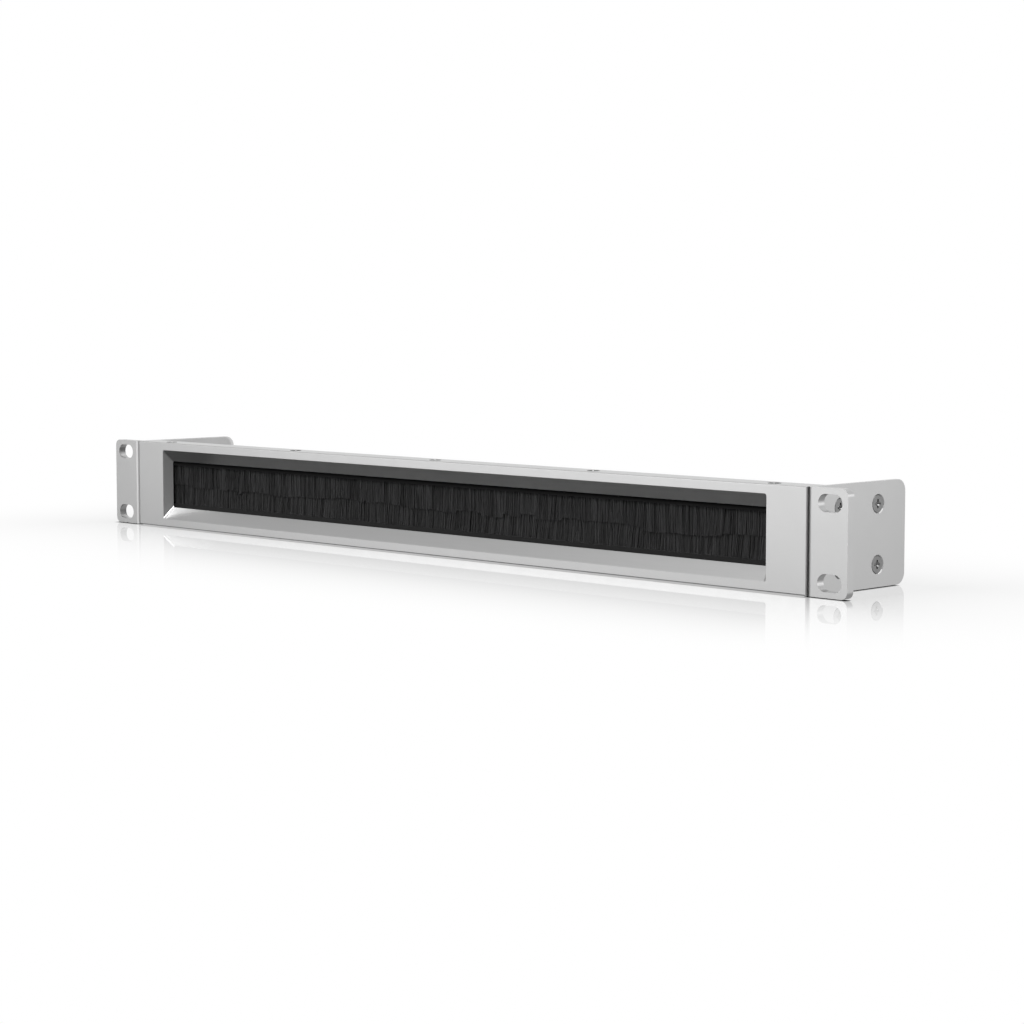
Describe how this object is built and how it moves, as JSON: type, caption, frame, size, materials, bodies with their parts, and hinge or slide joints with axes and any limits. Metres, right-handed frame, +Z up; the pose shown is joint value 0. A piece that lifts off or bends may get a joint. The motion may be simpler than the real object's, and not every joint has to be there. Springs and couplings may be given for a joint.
{
  "type": "rack brush strip panel",
  "caption": "Slim rack-mount panel with a bevelled window closed by facing brush strips that cables pass through, and slotted angle brackets at its ends.",
  "frame": {"origin": "middle of the rack slots' pattern, in the plane of the front face", "axes": "+X along the panel to the viewer's right, +Y from the front face into the rack, +Z up"},
  "size_m": [0.4826, 0.063, 0.0436],
  "materials": {
    "bezel": "satin silver-grey powder coat",
    "ear": "satin silver-grey powder coat",
    "frame": "satin silver-grey powder coat on folded steel",
    "rail": "black anodised, matte",
    "bristle": "black nylon strands",
    "wire": "galvanised",
    "screw": "satin zinc-nickel plate",
    "nut": "bright zinc plate"
  },
  "bodies": {
    "root": {"front_bezel": "bezel", "rear_frame": "frame", "left_ear": "ear", "right_ear": "ear", "upper_brush_rail": "rail", "lower_brush_rail": "rail", "upper_bristles": "bristle", "lower_bristles": "bristle", "upper_core_wire": "wire", "lower_core_wire": "wire", "left_ear_screw_1": "screw", "left_ear_screw_2": "screw", "left_ear_screw_3": "screw", "left_ear_screw_4": "screw", "left_clinch_nut_1": "nut", "left_clinch_nut_2": "nut", "left_clinch_nut_3": "nut", "left_clinch_nut_4": "nut", "right_ear_screw_1": "screw", "right_ear_screw_2": "screw", "right_ear_screw_3": "screw", "right_ear_screw_4": "screw", "right_clinch_nut_1": "nut", "right_clinch_nut_2": "nut", "right_clinch_nut_3": "nut", "right_clinch_nut_4": "nut", "top_screw_1": "screw", "top_screw_2": "screw", "top_screw_3": "screw", "top_screw_4": "screw", "top_screw_5": "screw", "bottom_screw_1": "screw", "bottom_screw_2": "screw", "bottom_screw_3": "screw", "bottom_screw_4": "screw", "bottom_screw_5": "screw"}
  },
  "joints": []
}
